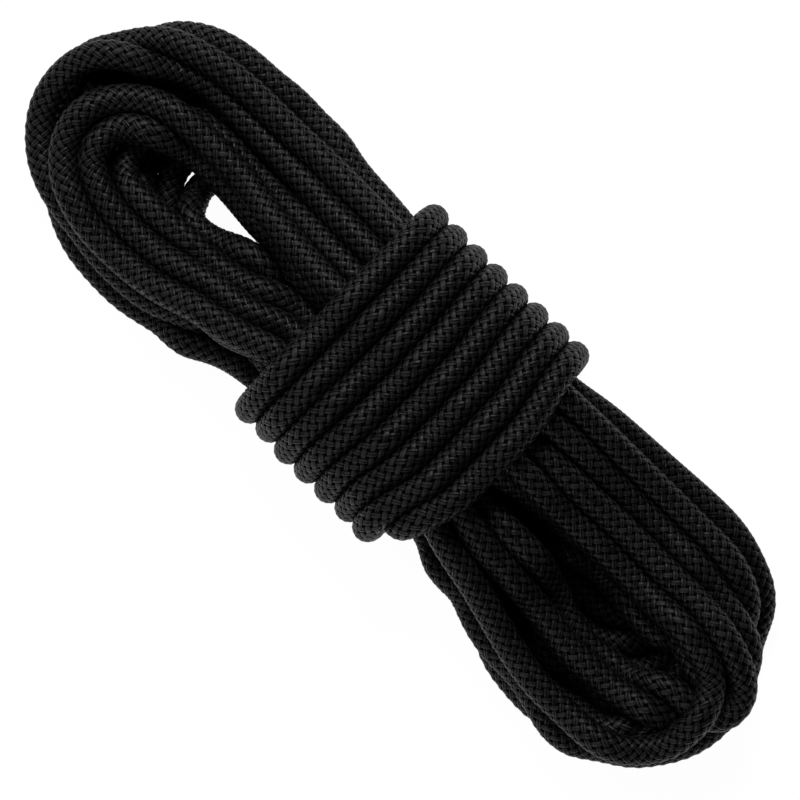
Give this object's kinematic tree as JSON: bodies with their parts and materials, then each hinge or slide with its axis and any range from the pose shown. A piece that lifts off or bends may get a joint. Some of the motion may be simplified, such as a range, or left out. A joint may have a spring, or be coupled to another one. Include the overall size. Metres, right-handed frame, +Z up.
{
  "type": "dynamic climbing rope",
  "caption": "Black kernmantle climbing rope put up as a flat-lying hank: nested loops drawn in at the waist by side-by-side turns of the same rope, with the tail tucked under.",
  "frame": {"origin": "on the surface that the hank lies on, under the middle of its length and width", "axes": "+X along the hank, +Y across it towards the back, +Z up out of the surface"},
  "size_m": [0.3253, 0.1055, 0.0609],
  "materials": {
    "sheath": "woven black polyamide sheath, satin",
    "core": "twisted white polyamide yarn",
    "fused_tip": "polyamide fused by heat, dull"
  },
  "bodies": {
    "root": {"hank_loops": "sheath", "waist_turns": "sheath", "start_sheath": "sheath", "start_core": "core", "start_tip": "fused_tip", "tail_sheath": "sheath", "tail_core": "core", "tail_tip": "fused_tip"}
  },
  "joints": []
}
